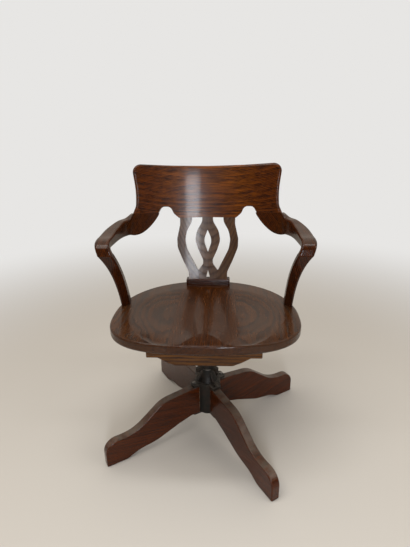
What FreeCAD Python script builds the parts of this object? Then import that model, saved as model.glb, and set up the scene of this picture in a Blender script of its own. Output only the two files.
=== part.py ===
# A swivelling desk chair in dark oak on a cast iron hub, made as a parametric document.
#
# Frame: the origin is on the swivel axis at floor level, +Z up, the sitter faces -Y, +X to the right.
# All lengths are in millimetres and all angles in degrees.
# The back leans, so the panel, the splat and their joints are drawn upright in a back frame,
# whose X is the chair's X, whose Y points away from the sitter and whose Z runs up the slope.

import FreeCAD
import Part
import math
import os
import re
import Sketcher

from FreeCAD import Placement, Rotation, Vector

doc = FreeCAD.newDocument("DeskChair")
sheet = doc.addObject("Spreadsheet::Sheet", "Sizes")

# The driving sizes: alias, value, and what it measures.
sizeRows = [
    ("seatHeight", 460, "floor to the flat border of the seat"),
    ("seatThickness", 30, "seat plank at its edge"),
    ("seatHalfWidth", 275, "swivel axis to the side of the seat"),
    ("seatFrontReach", 184, "widest line of the seat to its front edge"),
    ("seatRearReach", 264, "widest line of the seat to its rear edge"),
    ("seatWidestSetback", 72, "widest line of the seat in front of the axis"),
    ("seatFrontPower", 2.9, "squareness of the front outline"),
    ("seatRearPower", 2.15, "squareness of the rear outline"),
    ("seatTopRound", 6, "rounding of the seat's upper edge"),
    ("seatBottomRound", 9, "rounding of the seat's lower edge"),
    ("dishDepth", 9, "deepest point of the dished seat"),
    ("dishHalfWidth", 236, "dish, axis to side"),
    ("dishHalfDepth", 190, "dish, centre to front or rear"),
    ("dishSetback", 58, "dish centre in front of the axis"),
    ("pommelHeight", 6, "ridge left between the thighs"),
    ("pommelWidth", 42, "half width of that ridge"),
    ("channelDepth", 3.5, "channels under the thighs at the front edge"),
    ("channelSpread", 118, "axis to the middle of a channel"),
    ("channelWidth", 62, "half width of a channel"),
    ("backSetback", 145, "front of the panel's plane behind the axis, at seat height"),
    ("backLean", 9.2, "lean of the back"),
    ("panelRadius", 551, "curve of the panel's front face"),
    ("panelThickness", 22, "crest panel"),
    ("panelHalfTop", 240, "panel, half width near its top"),
    ("panelHalfWaist", 229, "panel, half width at its narrowest"),
    ("panelHalfFoot", 241, "panel, half width where it meets the arms"),
    ("panelTop", 409, "up the slope to the panel's top corners"),
    ("panelDip", 6, "dip of the top edge in the middle"),
    ("panelTopRound", 25, "rounding of the panel's top corners"),
    ("panelJoint", 252.6, "up the slope to the joint with the arms"),
    ("panelTongue", 235, "up the slope to the panel's lowest edge"),
    ("panelEdgeRound", 6.5, "rounding along the panel's edges"),
    ("tongueHalf", 95, "half width of the tongue over the splat"),
    ("archPeak", 272.5, "up the slope to the top of each arch"),
    ("archInner", 118, "inner flank of each arch"),
    ("archOuter", 159, "outer flank of each arch"),
    ("railTipDrop", 4, "depth of the arm where the arch begins"),
    ("railTipReach", 162, "tip of the arm, at the foot of the arch"),
    ("railHeel", 71, "depth of the arm where it leaves the panel"),
    ("railThickness", 27, "arm, top to underside, at the knuckle"),
    ("railRise", 222, "seat to the top of the arm at the knuckle"),
    ("railRound", 7, "rounding of the arm's long edges"),
    ("railLeave", 46, "how long the arm keeps the panel's direction"),
    ("railArrive", 78, "how long the arm runs straight to its knuckle"),
    ("railHeelRise", 26, "rise of the arm's top from knuckle to panel"),
    ("kneeOuter", 314, "outer side of the knuckle"),
    ("kneeInner", 271, "inner side of the knuckle"),
    ("kneeBend", 45, "start of the knuckle's bend in front of the axis"),
    ("kneeRadius", 12, "inside bend of the knuckle"),
    ("kneeTuck", 11, "how far the knuckle moves in on its way down"),
    ("footOuter", 272, "outer corner of a post's foot"),
    ("footInner", 241, "inner corner of a post's foot"),
    ("footFront", 50, "front corner of a post's foot in front of the axis"),
    ("footRear", 34, "rear of a post's foot behind the axis"),
    ("postRound", 6, "rounding of a post's long edges"),
    ("splatThickness", 12, "splat"),
    ("splatInset", 4, "splat behind the panel's front face"),
    ("splatHalfFoot", 65, "half width of the splat at the shoe"),
    ("splatHalfWaist", 103, "half width of the splat at its widest"),
    ("splatHalfTop", 93, "half width of the splat at the panel"),
    ("splatTenon", 12, "splat let into the panel and into the shoe"),
    ("shoeHalfWidth", 75, "splat shoe"),
    ("shoeDepth", 26, "splat shoe, front to rear"),
    ("shoeHeight", 24, "splat shoe"),
    ("bearerHalfLength", 159, "seat bearers"),
    ("bearerThickness", 32, "seat bearers"),
    ("bearerEndDepth", 40, "depth of a bearer at its ends"),
    ("bearerMidDepth", 65, "depth of a bearer in the middle"),
    ("bearerFrontFace", 200, "front face of the front bearer in front of the axis"),
    ("bearerRearFace", 92, "front face of the rear bearer behind the axis"),
    ("legReach", 368, "axis to the toe's end face"),
    ("legThickness", 28, "leg"),
    ("legTopHeight", 175, "top of a leg at the hub"),
    ("legUnderHeight", 68, "underside of a leg at the hub"),
    ("legRound", 4, "rounding of the legs' long edges"),
    ("toeHeight", 84, "top of the toe"),
    ("toeRound", 40, "rounding of the toe"),
    ("footPadLength", 66, "flat under the toe"),
    ("legBearing", 32.67, "angle of the first leg from +X"),
    ("columnRadius", 42, "iron column of the hub"),
    ("plateThickness", 8, "cross plate of the hub"),
    ("earReach", 61, "axis to the end of an ear"),
    ("earWidth", 38, "ear over a leg"),
    ("earScrewCircle", 51.5, "axis to a coach screw"),
    ("bossHeight", 44, "tapered boss above the cross plate"),
    ("bossFootRadius", 32, "boss at the plate"),
    ("bossTopRadius", 21, "boss at its top"),
    ("ribThickness", 7, "rib from boss to ear"),
    ("ribReach", 40, "outer end of a rib"),
    ("lowerPlateThickness", 5, "plate under the legs"),
    ("lowerScrewCircle", 52, "axis to a screw of the lower plate"),
    ("spindleRadius", 12.5, "threaded spindle, outside"),
    ("spindleFoot", 92, "floor to the lower end of the spindle"),
    ("spindleTopDrop", 42, "seat to the upper end of the spindle"),
    ("washerThickness", 3, "thrust washer"),
    ("washerRadius", 20, "thrust washer"),
    ("nutHeight", 30, "height nut"),
    ("nutRadius", 23, "height nut"),
    ("nutLugReach", 50, "axis to the end of a lug"),
    ("nutLugWidth", 13, "lug of the height nut"),
    ("ironThickness", 8, "arms of the seat iron"),
    ("ironReach", 118, "axis to the end of an arm"),
    ("ironArmWidth", 34, "arm of the seat iron"),
    ("ironSocketRadius", 24, "socket of the seat iron"),
    ("ironSocketDrop", 118, "seat to the lower end of the socket"),
    ("ironRibThickness", 7, "rib under an arm"),
    ("pinRadius", 4, "cross pin of the spindle"),
    ("pinDrop", 96, "seat to the cross pin of the spindle"),
    ("dowelRadius", 4.5, "wooden dowels"),
    ("dowelLength", 44, "wooden dowels"),
    ("woodScrewRadius", 2.6, "shank of a wood screw"),
    ("slotWidth", 1.3, "slot in a wood screw's head"),
    ("slotDepth", 1.2, "slot in a wood screw's head"),
    ("coachScrewRadius", 4.5, "shank of a coach screw"),
    ("coachScrewLength", 52, "coach screw under its head"),
    ("coachHeadRadius", 7, "head of a coach screw"),
    ("coachHeadHeight", 4.5, "head of a coach screw"),
    ("fastenerFit", 0.05, "radial room round screws, dowels and pins"),
    ("runningFit", 0.06, "radial room of the spindle in hub and nut"),
    ("faceGap", 0.1, "room between faces that turn on each other"),
    ("slotFit", 0.1, "room round the splat in panel and shoe"),
]
for rowNumber, (alias, value, meaning) in enumerate(sizeRows, start=1):
    sheet.set("A%d" % rowNumber, alias)
    sheet.set("B%d" % rowNumber, str(value))
    sheet.set("C%d" % rowNumber, meaning)
    sheet.setAlias("B%d" % rowNumber, alias)
doc.recompute()


def size(alias):
    """The value of one driving size."""
    return float(sheet.get(alias))


def worth(text):
    """The number that a sum of products of sizes comes to, such as 'seatHeight - 0.5 * seatThickness'."""
    total = 0.0
    for sign, term in re.findall(r"([+-]?)\s*([^+-]+)", text):
        product = 1.0
        for step, factor in re.findall(r"([*/]?)\s*([\w.]+)", term):
            amount = float(factor) if factor[0].isdigit() else size(factor)
            product = product / amount if step == "/" else product * amount
        total += -product if sign == "-" else product
    return total


def bind(thing, propertyName, text):
    """Ties a property to the sheet with the same text that worth() reads."""
    thing.setExpression(propertyName, re.sub(r"[A-Za-z]\w*", r"Sizes.\g<0>", text))


def newBody(label):
    body = doc.addObject("PartDesign::Body", label)
    body.Label = label
    return body


def newSketch(body, role, name, lift="0"):
    """A sketch on one of the body's own origin planes, lifted along the plane's normal."""
    sketch = body.newObject("Sketcher::SketchObject", name)
    plane = [feature for feature in body.Origin.OriginFeatures if feature.Role == role]
    sketch.AttachmentSupport = [(plane[0], "")]
    sketch.MapMode = "FlatFace"
    sketch.AttachmentOffset = Placement(Vector(0, 0, worth(lift)), Rotation())
    bind(sketch, "AttachmentOffset.Base.z", lift)
    return sketch


def holdDistance(sketch, kind, geometry, position, text):
    """A horizontal or vertical distance from the sketch's origin, tied to the sheet."""
    constraint = Sketcher.Constraint(kind, -1, 1, geometry, position, worth(text))
    index = sketch.addConstraint(constraint)
    bind(sketch, "Constraints[%d]" % index, text)


def drawOutline(sketch, corners):
    """A closed outline through corners (across, up, radius), each rounded by its own radius.

    A corner without a radius stays sharp. Every corner and every radius is tied to the sheet.
    """
    points = [Vector(worth(across), worth(up), 0) for across, up, radius in corners]
    rounds = []
    count = len(points)
    for index, (across, up, radius) in enumerate(corners):
        arriving = (points[index] - points[index - 1]).normalize()
        leaving = (points[(index + 1) % count] - points[index]).normalize()
        if radius is None:
            rounds.append((points[index], points[index], None, 0))
            continue
        turn = arriving.getAngle(leaving)
        setback = worth(radius) * math.tan(turn / 2)
        side = 1 if arriving.cross(leaving).z > 0 else -1
        start = points[index] - arriving * setback
        end = points[index] + leaving * setback
        normal = Vector(-arriving.y, arriving.x, 0) * side
        rounds.append((start, end, start + normal * worth(radius), side))
    lines = []
    for index in range(count):
        begin = rounds[index][1]
        finish = rounds[(index + 1) % count][0]
        lines.append(sketch.addGeometry(Part.LineSegment(begin, finish)))
    for index, (across, up, radius) in enumerate(corners):
        before = lines[index - 1]
        after = lines[index]
        start, end, centre, side = rounds[index]
        if radius is None:
            sketch.addConstraint(Sketcher.Constraint("Coincident", before, 2, after, 1))
            holdDistance(sketch, "DistanceX", after, 1, across)
            holdDistance(sketch, "DistanceY", after, 1, up)
            continue
        circle = Part.Circle(centre, Vector(0, 0, 1), worth(radius))
        first, last = (start, end) if side > 0 else (end, start)
        startAngle = math.atan2(first.y - centre.y, first.x - centre.x)
        endAngle = math.atan2(last.y - centre.y, last.x - centre.x)
        if endAngle < startAngle:
            endAngle += 2 * math.pi
        arc = sketch.addGeometry(Part.ArcOfCircle(circle, startAngle, endAngle))
        corner = sketch.addGeometry(Part.Point(points[index]), True)
        holdDistance(sketch, "DistanceX", corner, 1, across)
        holdDistance(sketch, "DistanceY", corner, 1, up)
        sketch.addConstraint(Sketcher.Constraint("PointOnObject", corner, 1, before))
        sketch.addConstraint(Sketcher.Constraint("PointOnObject", corner, 1, after))
        arcStart, arcEnd = (1, 2) if side > 0 else (2, 1)
        sketch.addConstraint(Sketcher.Constraint("Tangent", before, 2, arc, arcStart))
        sketch.addConstraint(Sketcher.Constraint("Tangent", arc, arcEnd, after, 1))
        radiusIndex = sketch.addConstraint(Sketcher.Constraint("Radius", arc, worth(radius)))
        bind(sketch, "Constraints[%d]" % radiusIndex, radius)


def mirrorCorners(half):
    """The corners of the right half, listed upwards, followed by their mirror images."""
    return half + [(minus(across), up, radius) for across, up, radius in reversed(half) if across != "0"]


def minus(text):
    """The same sum of sizes with every sign turned over."""
    flipped = re.sub(r"[+-]", lambda sign: "-" if sign.group() == "+" else "+", text)
    return "- " + flipped if not flipped.startswith("+") else flipped[1:].strip()


def drawCircle(sketch, across, up, radius):
    place = Vector(worth(across), worth(up), 0)
    circle = sketch.addGeometry(Part.Circle(place, Vector(0, 0, 1), worth(radius)))
    holdDistance(sketch, "DistanceX", circle, 3, across)
    holdDistance(sketch, "DistanceY", circle, 3, up)
    index = sketch.addConstraint(Sketcher.Constraint("Radius", circle, worth(radius)))
    bind(sketch, "Constraints[%d]" % index, radius)


def addPad(body, sketch, name, length, side="One side", backwards=False):
    pad = body.newObject("PartDesign::Pad", name)
    pad.Profile = sketch
    pad.Length = worth(length)
    pad.SideType = side
    pad.Reversed = backwards
    bind(pad, "Length", length)
    sketch.Visibility = False
    return pad


def addPocket(body, sketch, name):
    """Cuts the sketch right through the body, both ways."""
    pocket = body.newObject("PartDesign::Pocket", name)
    pocket.Profile = sketch
    pocket.Type = "ThroughAll"
    pocket.SideType = "Symmetric"
    return pocket


def addTurn(body, sketch, name):
    """Turns the sketch a full circle about the sketch's upright axis."""
    turn = body.newObject("PartDesign::Revolution", name)
    turn.Profile = sketch
    turn.ReferenceAxis = (sketch, ["V_Axis"])
    turn.Angle = 360
    return turn


def addRing(body, features, name, count):
    """Repeats features round the body's upright axis."""
    ring = body.newObject("PartDesign::PolarPattern", name)
    ring.Originals = features
    ring.Axis = ([feature for feature in body.Origin.OriginFeatures if feature.Role == "Z_Axis"][0], [""])
    ring.Angle = 360
    ring.Occurrences = count
    body.Tip = ring
    return ring


def keepShape(label, shape):
    """A sub-part or a cutter whose shape is worked out here from the sheet."""
    feature = doc.addObject("Part::Feature", label)
    feature.Label = label
    feature.Shape = shape
    return feature


def boolean(kind, label, base, tool):
    result = doc.addObject("Part::" + kind, label)
    result.Label = label
    result.Base = base
    result.Tool = tool
    return result


def mirrored(label, source):
    """The left-hand twin of a right-hand piece."""
    twin = doc.addObject("Part::Mirroring", label)
    twin.Label = label
    twin.Source = source
    twin.Normal = Vector(1, 0, 0)
    return twin


def turned(profile):
    """A solid of revolution about Z from corners (radius, height)."""
    wire = Part.makePolygon([Vector(radius, 0, height) for radius, height in profile + profile[:1]])
    return Part.Face(wire).revolve(Vector(0, 0, 0), Vector(0, 0, 1), 360)


def grown(profile, room):
    """The same profile with room round every outside radius, for the hole it sits in."""
    return [(radius + room if radius > 0 else 0, height) for radius, height in profile]


def group(shape, places):
    """Copies of one fastener as separate solids."""
    copies = []
    for place in places:
        copy = shape.copy()
        copy.Placement = place
        copies.append(copy)
    return Part.makeCompound(copies)


def upward(position):
    """Stands a fastener's point up, with its head down at the position."""
    return Placement(position, Rotation())


def slotted(shape, head):
    """A screw with a straight slot across the face of its head, which looks down."""
    slot = Part.makeBox(2 * head + 2, size("slotWidth"), size("slotDepth"))
    slot.translate(Vector(-head - 1, -0.5 * size("slotWidth"), 0))
    return shape.cut(slot)


def hexagonal(shape, radius, height):
    """A coach screw with six flats round its head, which stands above height 0."""
    corners = []
    for index in range(7):
        angle = math.radians(60 * index)
        corners.append(Vector(radius * math.cos(angle), radius * math.sin(angle), 0))
    bar = Part.Face(Part.makePolygon(corners)).extrude(Vector(0, 0, 2 * height))
    below = shape.common(Part.makeCylinder(0.9 * radius, 500, Vector(0, 0, -500)))
    return below.fuse(shape.common(bar)).removeSplitter()


def fastenWith(label, profile, places, dress=None):
    """The fasteners themselves, and a cutter for the holes they sit in."""
    shape = turned(profile)
    fasteners = keepShape(label, group(dress(shape) if dress else shape, places))
    holes = keepShape(label + "_holes", group(turned(grown(profile, size("fastenerFit"))), places))
    return fasteners, holes


# Frames

leanTurn = Rotation(Vector(1, 0, 0), -size("backLean"))
backFrame = Placement(Vector(0, size("backSetback"), size("seatHeight")), leanTurn)


def panelDepth(across, radius):
    """How far a curve of this radius about the panel's centre of curvature stands back, at one place across."""
    return math.sqrt(radius * radius - across * across) - size("panelRadius")


# Seat

def seatOutline(count):
    """Points round the seat: half of one superellipse in front of its widest line, half of another behind."""
    points = []
    for step in range(count):
        angle = 2 * math.pi * step / count
        across = math.cos(angle)
        along = math.sin(angle)
        front = along < 0
        power = size("seatFrontPower") if front else size("seatRearPower")
        reach = size("seatFrontReach") if front else size("seatRearReach")
        x = math.copysign(abs(across) ** (2 / power), across) * size("seatHalfWidth")
        y = math.copysign(abs(along) ** (2 / power), along) * reach - size("seatWidestSetback")
        points.append(Vector(x, y, 0))
    return points


def makeSeat(holes):
    curve = Part.BSplineCurve()
    curve.interpolate(seatOutline(48), True)
    underside = size("seatHeight") - size("seatThickness")
    blank = Part.Face(Part.Wire(curve.toShape())).extrude(Vector(0, 0, size("seatThickness")))
    blank.translate(Vector(0, 0, underside))
    plank = keepShape("seat_plank", blank)
    rounded = doc.addObject("Part::Fillet", "seat_rounded")
    rounded.Base = plank
    rounds = []
    for number, edge in enumerate(blank.Edges, start=1):
        flat = edge.BoundBox.ZLength < 0.001
        if flat:
            isTop = edge.BoundBox.ZMin > underside + 1
            radius = size("seatTopRound") if isTop else size("seatBottomRound")
            rounds.append((number, radius, radius))
    rounded.Edges = rounds
    dished = boolean("Cut", "seat_dished", rounded, keepShape("seat_dish", makeDish()))
    return boolean("Cut", "seat", dished, holes)


def makeDish():
    """The hollow of the seat: a bowl with a flat bottom that runs out softly at its border.

    A ridge between the thighs fades towards the rear, and two shallow channels beside it run out
    over the front edge.
    """
    halfWidth = size("dishHalfWidth")
    halfDepth = size("dishHalfDepth")
    rows = []
    for j in range(25):
        along = -1.2 + 2.4 * j / 24
        row = []
        for i in range(33):
            across = -1.2 + 2.4 * i / 32
            square = across * across + along * along
            soft = 1 - square * square
            bowl = size("dishDepth") * (0.76 * soft * abs(soft) + 0.24 * (1 - square))
            fade = 0.5 - 0.5 * math.tanh(3 * along + 1)
            ridge = size("pommelHeight") * math.exp(-(across * halfWidth / size("pommelWidth")) ** 2) * fade
            beside = (abs(across) * halfWidth - size("channelSpread")) / size("channelWidth")
            channel = size("channelDepth") * math.exp(-beside * beside) * (0.5 - 0.5 * math.tanh(5 * along + 3.6))
            height = size("seatHeight") - bowl + ridge - channel
            row.append(Vector(across * halfWidth, along * halfDepth - size("dishSetback"), height))
        rows.append(row)
    surface = Part.BSplineSurface()
    surface.interpolate(rows)
    return surface.toShape().extrude(Vector(0, 0, size("seatThickness")))


# Back

def makeBand(label, innerRadius, outerRadius, halfAngle):
    """A tall curved sheet about the panel's centre of curvature, between two radii."""
    height = worth("panelTop + 40")
    inner = Part.makeCylinder(innerRadius, height, Vector(0, 0, 0), Vector(0, 0, 1), 2 * halfAngle)
    outer = Part.makeCylinder(outerRadius, height, Vector(0, 0, 0), Vector(0, 0, 1), 2 * halfAngle)
    band = outer.cut(inner)
    centre = Vector(0, -size("panelRadius"), 0)
    band.Placement = Placement(centre, Rotation(Vector(0, 0, 1), 90 - halfAngle))
    return keepShape(label, band)


def makeOutlinePad(label, corners, windows=()):
    """A slab standing in the back frame, with the outline seen from the front."""
    body = newBody(label)
    outline = newSketch(body, "XZ_Plane", label + "_outline")
    drawOutline(outline, corners)
    addPad(body, outline, label + "_pad", "2 * panelRadius", "Symmetric")
    for number, window in enumerate(windows):
        opening = newSketch(body, "XZ_Plane", "%s_window_%d" % (label, number))
        drawOutline(opening, window)
        addPocket(body, opening, "%s_cut_%d" % (label, number))
    return body


def makeSplat(band):
    top = "panelTongue + splatTenon"
    foot = "shoeHeight - splatTenon + 2"
    outer = [
        ("splatHalfFoot", foot, None),
        ("splatHalfFoot + 1", "50", "40"),
        ("0.5 * splatHalfFoot + 0.5 * splatHalfWaist", "89", "60"),
        ("splatHalfWaist - 1", "135", "50"),
        ("splatHalfWaist", "165", "45"),
        ("splatHalfTop - 1", "214", "45"),
        ("splatHalfTop", top, None),
    ]
    gapTop = "panelTongue + 4"
    gap = [
        ("33.5", "53", "2"),
        ("splatHalfWaist - 32", "128", "60"),
        ("splatHalfWaist - 26.5", "160", "45"),
        ("splatHalfWaist - 32", "190", "60"),
        ("splatHalfTop - 40", "222", "40"),
        ("splatHalfTop - 40", gapTop, None),
        ("18", gapTop, None),
        ("18", "222", "30"),
        ("37", "190", "60"),
        ("42.5", "158", "45"),
        ("32", "126", "60"),
        ("16.5", "92", "22"),
        ("16.5", "77", "18"),
    ]
    gapMirror = [(minus(across), up, radius) for across, up, radius in reversed(gap)]
    lens = [("0", "117", None), ("14.5", "158", "45"), ("0", "194", None), ("- 14.5", "158", "45")]
    teardrop = [("- 7.5", "shoeHeight + 1", "6"), ("7.5", "shoeHeight + 1", "6"), ("0", "55", None)]
    board = makeOutlinePad("splat_board", mirrorCorners(outer), [gap, gapMirror, lens, teardrop])
    splat = boolean("Common", "splat", board, band)
    splat.Placement = backFrame
    return splat


def makePanel(band, slots):
    outline = [
        ("0", "panelTongue + 1.5", "300"),
        ("tongueHalf", "panelTongue", "3"),
        ("archInner - 6", "panelTongue + 15", "22"),
        ("archInner + 4", "archPeak", "17"),
        ("archOuter - 8", "archPeak", "17"),
        ("railTipReach", "panelJoint", None),
        ("panelHalfFoot", "panelJoint", None),
        ("panelHalfWaist + 2", "panelJoint + 24", "40"),
        ("panelHalfWaist", "panelJoint + 70", "300"),
        ("panelHalfTop", "panelTop", "panelTopRound"),
        ("0.5 * panelHalfTop", "panelTop - 0.7 * panelDip", "600"),
        ("0", "panelTop - panelDip", "600"),
    ]
    board = makeOutlinePad("panel_board", mirrorCorners(outline))
    blank = boolean("Common", "panel_blank", board, band)
    doc.recompute()
    rounded = doc.addObject("Part::Fillet", "panel_rounded")
    rounded.Base = blank
    radius = size("panelEdgeRound")
    rounds = []
    for number, edge in enumerate(blank.Shape.Edges, start=1):
        middle = edge.valueAt(0.5 * (edge.FirstParameter + edge.LastParameter))
        isCorner = abs(edge.tangentAt(edge.FirstParameter).y) > 0.6
        aboveWaist = middle.z > worth("panelJoint + 4")
        inArch = abs(middle.x) < worth("railTipReach + 1")
        if aboveWaist and not inArch and not isCorner:
            rounds.append((number, radius, radius))
        elif middle.z > worth("panelJoint + 40") and not isCorner:
            rounds.append((number, radius, radius))
    rounded.Edges = rounds
    panel = boolean("Cut", "crest_panel", rounded, slots)
    panel.Placement = backFrame
    return panel


def makeSlot(label, low, high, halfWidth):
    """The slot that one end of the splat is let into, in the back frame."""
    room = size("slotFit")
    inner = size("panelRadius") + size("splatInset") - room
    outer = size("panelRadius") + size("splatInset") + size("splatThickness") + room
    halfAngle = math.degrees(math.asin((halfWidth + room) / inner))
    height = high - low
    ring = Part.makeCylinder(outer, height, Vector(0, 0, low), Vector(0, 0, 1), 2 * halfAngle)
    ring = ring.cut(Part.makeCylinder(inner, height, Vector(0, 0, low), Vector(0, 0, 1), 2 * halfAngle))
    ring.Placement = Placement(Vector(0, -size("panelRadius"), 0), Rotation(Vector(0, 0, 1), 90 - halfAngle))
    return ring


# Arms

def roundedQuad(corners, radius, topRadius=None):
    """A closed wire round four corners in one plane, with each corner rounded.

    The last two corners may have a radius of their own.
    """
    radii = [radius, radius, topRadius or radius, topRadius or radius]
    edges = []
    starts = []
    ends = []
    middles = []
    for index in range(4):
        here = corners[index]
        arriving = (here - corners[index - 1]).normalize()
        leaving = (corners[(index + 1) % 4] - here).normalize()
        turn = arriving.getAngle(leaving)
        setback = radii[index] * math.tan(turn / 2)
        inward = (leaving - arriving).normalize()
        starts.append(here - arriving * setback)
        ends.append(here + leaving * setback)
        middles.append(here + inward * radii[index] * (1 / math.cos(turn / 2) - 1))
    for index in range(4):
        edges.append(Part.Arc(starts[index], middles[index], ends[index]).toShape())
        edges.append(Part.LineSegment(ends[index], starts[(index + 1) % 4]).toShape())
    return Part.Wire(edges)


def blend(start, end, share):
    return start + (end - start) * share


def postCorners(share):
    """The four corners of a post at a share of its height, 0 at the seat and 1 under the knuckle.

    The outer side flares with a high power of the height, and the front face turns from
    facing the sitter's thigh at the foot to facing forward at the top.
    """
    topInner = size("kneeInner") - size("kneeTuck")
    topOuter = size("kneeOuter") - size("kneeTuck")
    topRear = -size("kneeBend") - size("kneeRadius")
    topFront = topRear - size("railThickness")
    rearOuter = size("footOuter") - 17
    height = blend(size("seatHeight"), postTop(), share)
    return [
        Vector(blend(size("footInner"), topInner, share ** 4), blend(0, topFront, share), height),
        Vector(blend(size("footOuter") - 1, topOuter, share ** 4),
               blend(-size("footFront"), topFront, share ** 1.5), height),
        Vector(blend(rearOuter, topOuter, share ** 2.8), blend(size("footRear") - 8, topRear, share), height),
        Vector(blend(size("footInner") + 2, topInner, share ** 3), blend(size("footRear"), topRear, share), height),
    ]


def postTop():
    """Height of the joint between a post and its knuckle."""
    return worth("seatHeight + railRise - railThickness - kneeRadius")


def makePost(label, holes):
    shares = [0, 0.2, 0.4, 0.6, 0.8, 0.92, 1]
    sections = [roundedQuad(postCorners(share), size("postRound")) for share in shares]
    loft = keepShape(label + "_loft", Part.makeLoft(sections, True, False))
    return boolean("Cut", label, loft, holes)


def railSections():
    """Sections of the right arm from the tip under the panel round to the knuckle."""
    sections = []
    half = 0.5 * size("panelThickness")
    middleRadius = size("panelRadius") + half
    joint = size("panelJoint")
    # under the panel: upright strips of the panel's own curve, deepening towards the heel;
    # they stand a little high, and are planed off at the joint
    tip = size("railTipReach")
    heel = size("panelHalfFoot")
    for share in (0, 0.03, 0.09, 0.2, 0.35, 0.55, 0.78, 1):
        across = blend(tip, heel, share)
        depth = blend(size("railTipDrop"), size("railHeel"), math.sin(0.5 * math.pi * share) ** 0.85)
        spare = 6 if share < 0.7 else blend(5, 1.5, share)
        angle = math.asin(across / middleRadius)
        corners = []
        for radius, drop in ((-half, depth), (half, depth), (half, -spare), (-half, -spare)):
            reach = middleRadius + radius
            spot = Vector(reach * math.sin(angle), reach * math.cos(angle) - size("panelRadius"), joint - drop)
            corners.append(backFrame.multVec(spot))
        lowRound = blend(0.25, 1, math.sqrt(share)) * size("railRound")
        sections.append(roundedQuad(corners, min(lowRound, 0.42 * 2 * half), 0.6 if share < 0.9 else 1.2))
    # from the heel to the knuckle: the arm leaves in the panel's own direction, swings forward on
    # one cubic curve in plan, widens and thins
    heelAngle = math.asin(heel / middleRadius)
    heelSpot = Vector(middleRadius * math.sin(heelAngle),
                      middleRadius * math.cos(heelAngle) - size("panelRadius"), joint - 0.5 * size("railHeel"))
    heelMiddle = backFrame.multVec(heelSpot)
    kneeMiddle = 0.5 * (size("kneeOuter") + size("kneeInner"))
    kneeWidth = size("kneeOuter") - size("kneeInner")
    start = Vector(heelMiddle.x, heelMiddle.y, 0)
    leaving = Vector(math.cos(heelAngle), -math.sin(heelAngle), 0)
    end = Vector(kneeMiddle, 6 - size("kneeBend"), 0)
    guides = [start, start + leaving * size("railLeave"), end + Vector(0, size("railArrive"), 0), end]
    railTop = worth("seatHeight + railRise")
    for step in (0.13, 0.28, 0.46, 0.68, 0.92):
        rest = 1 - step
        spot = (guides[0] * rest ** 3 + guides[1] * (3 * step * rest ** 2)
                + guides[2] * (3 * step ** 2 * rest) + guides[3] * step ** 3)
        way = ((guides[1] - guides[0]) * rest ** 2 + (guides[2] - guides[1]) * (2 * step * rest)
               + (guides[3] - guides[2]) * step ** 2).normalize()
        share = (start.y - spot.y) / (start.y - end.y)
        width = blend(size("panelThickness") + 2, kneeWidth, math.sin(0.5 * math.pi * min(1, 1.2 * share)))
        top = railTop + size("railHeelRise") * (1 - share) ** 1.3
        bottom = blend(heelMiddle.z - 0.5 * size("railHeel") + 2, railTop - size("railThickness"), share ** 0.5)
        sideways = Vector(-way.y, way.x, 0)
        inner = spot - sideways * (0.5 * width)
        outer = spot + sideways * (0.5 * width)
        corners = [Vector(inner.x, inner.y, bottom), Vector(outer.x, outer.y, bottom),
                   Vector(outer.x, outer.y, top), Vector(inner.x, inner.y, top)]
        sections.append(roundedQuad(corners, size("railRound"), min(1, 0.7 + step) * size("railRound")))
    # the knuckle: the section turns about a level line until it faces down onto the post
    pivotHeight = postTop()
    for angle in (0, 30, 60, 90):
        radians = math.radians(angle)
        tuck = size("kneeTuck") * (1 - math.cos(radians))
        corners = []
        for side, reach in (("kneeInner", size("kneeRadius")), ("kneeOuter", size("kneeRadius")),
                            ("kneeOuter", size("kneeRadius") + size("railThickness")),
                            ("kneeInner", size("kneeRadius") + size("railThickness"))):
            along = -size("kneeBend") - reach * math.sin(radians)
            corners.append(Vector(size(side) - tuck, along, pivotHeight + reach * math.cos(radians)))
        sections.append(roundedQuad(corners, size("railRound") - 0.5 * radians))
    return sections


def makeRail(label, holes):
    loft = keepShape(label + "_loft", Part.makeLoft(railSections(), True, False))
    return boolean("Cut", label, loft, holes)


# Under the seat

def makeBearer(label, frontFace, holes):
    """A cross batten whose lower edge steps down in an ogee to a deeper middle."""
    body = newBody(label + "_batten")
    outline = newSketch(body, "XZ_Plane", label + "_outline", minus(frontFace))
    top = "seatHeight - seatThickness"
    end = top + " - bearerEndDepth"
    middle = top + " - bearerMidDepth"
    half = [
        ("0.5 * bearerHalfLength", middle, "16"),
        ("bearerHalfLength - 55", middle + " + 11", "12"),
        ("bearerHalfLength - 31", end, "10"),
        ("bearerHalfLength", end, "3"),
        ("bearerHalfLength", top, None),
    ]
    drawOutline(outline, mirrorCorners(half))
    addPad(body, outline, label + "_pad", "bearerThickness", backwards=True)
    return boolean("Cut", label, body, holes)


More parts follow.
